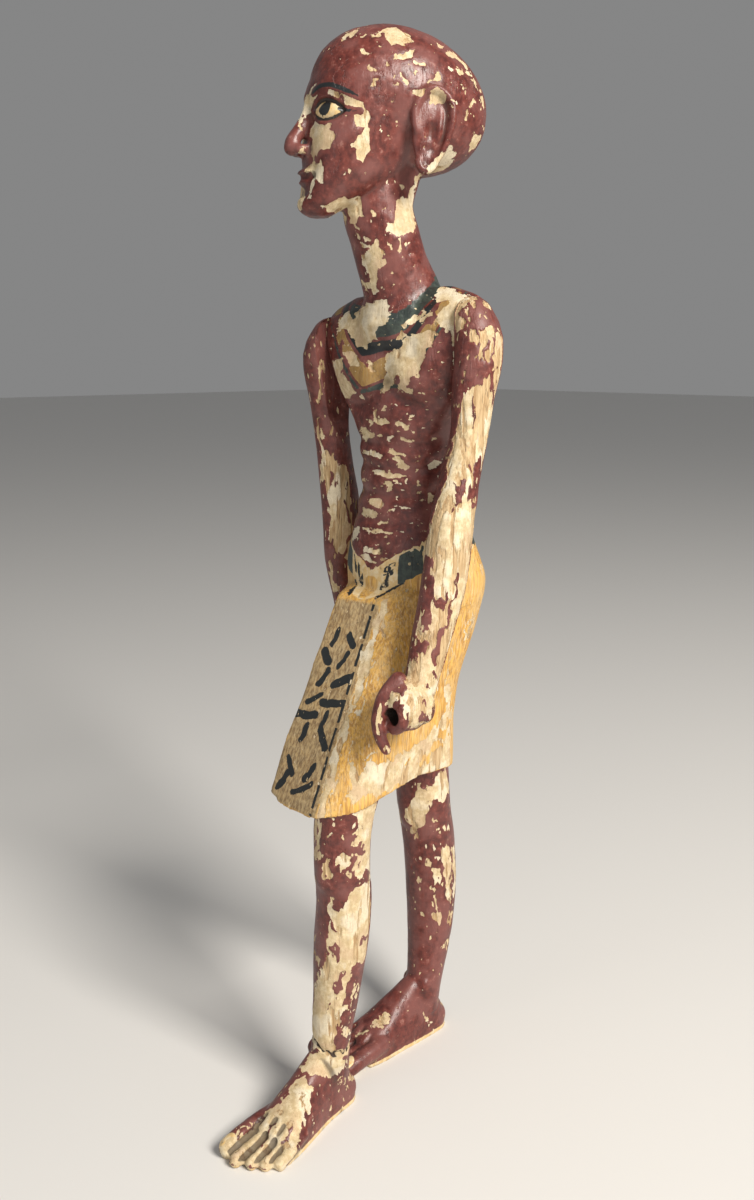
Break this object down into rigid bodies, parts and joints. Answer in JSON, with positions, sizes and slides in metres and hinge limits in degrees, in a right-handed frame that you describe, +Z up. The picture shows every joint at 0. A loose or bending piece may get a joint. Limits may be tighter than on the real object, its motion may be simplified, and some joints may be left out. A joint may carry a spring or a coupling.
{
  "type": "priest statue",
  "caption": "Carved and painted wooden figure of a striding man with a shaven head and a stiff-fronted kilt, standing on the soles of both feet.",
  "frame": {"origin": "middle of the bounding box's underside, in the plane of the two soles, on the surface that the statue stands on", "axes": "+Z up from the soles to the crown, -Y the way the feet and kilt panel face, +X to the figure's own left"},
  "size_m": [0.1712, 0.2607, 0.7817],
  "materials": {
    "painted_wood_body": "oxblood red, ochre and blue-green paint over cream gesso, flaked to bare wood",
    "painted_wood_arms": "oxblood red paint over cream gesso, largely worn to gesso and grained wood"
  },
  "bodies": {
    "root": {"body": "painted_wood_body", "left_arm": "painted_wood_arms", "right_arm": "painted_wood_arms"}
  },
  "joints": []
}
